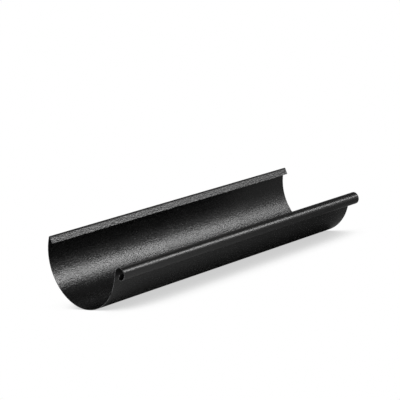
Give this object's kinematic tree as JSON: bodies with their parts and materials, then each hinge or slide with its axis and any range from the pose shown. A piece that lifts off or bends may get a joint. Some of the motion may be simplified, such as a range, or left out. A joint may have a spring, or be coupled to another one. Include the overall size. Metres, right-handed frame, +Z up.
{
  "type": "gutter section",
  "caption": "Half-round eaves gutter section in dark coated steel, with an open rolled bead at the front and a rear edge folded in over the trough",
  "frame": {"origin": "on the floor, under the middle of the section's bounding box, mid-length", "axes": "+X along the gutter, -Y towards the bead, +Z up; the gutter lies as it rests unheld, rolled 13.3 degrees towards its bead from the way it hangs"},
  "size_m": [0.535, 0.1688, 0.1134],
  "materials": {
    "coated_steel": "matt, fine-grained dark grey coating"
  },
  "bodies": {
    "root": {"gutter": "coated_steel"}
  },
  "joints": []
}
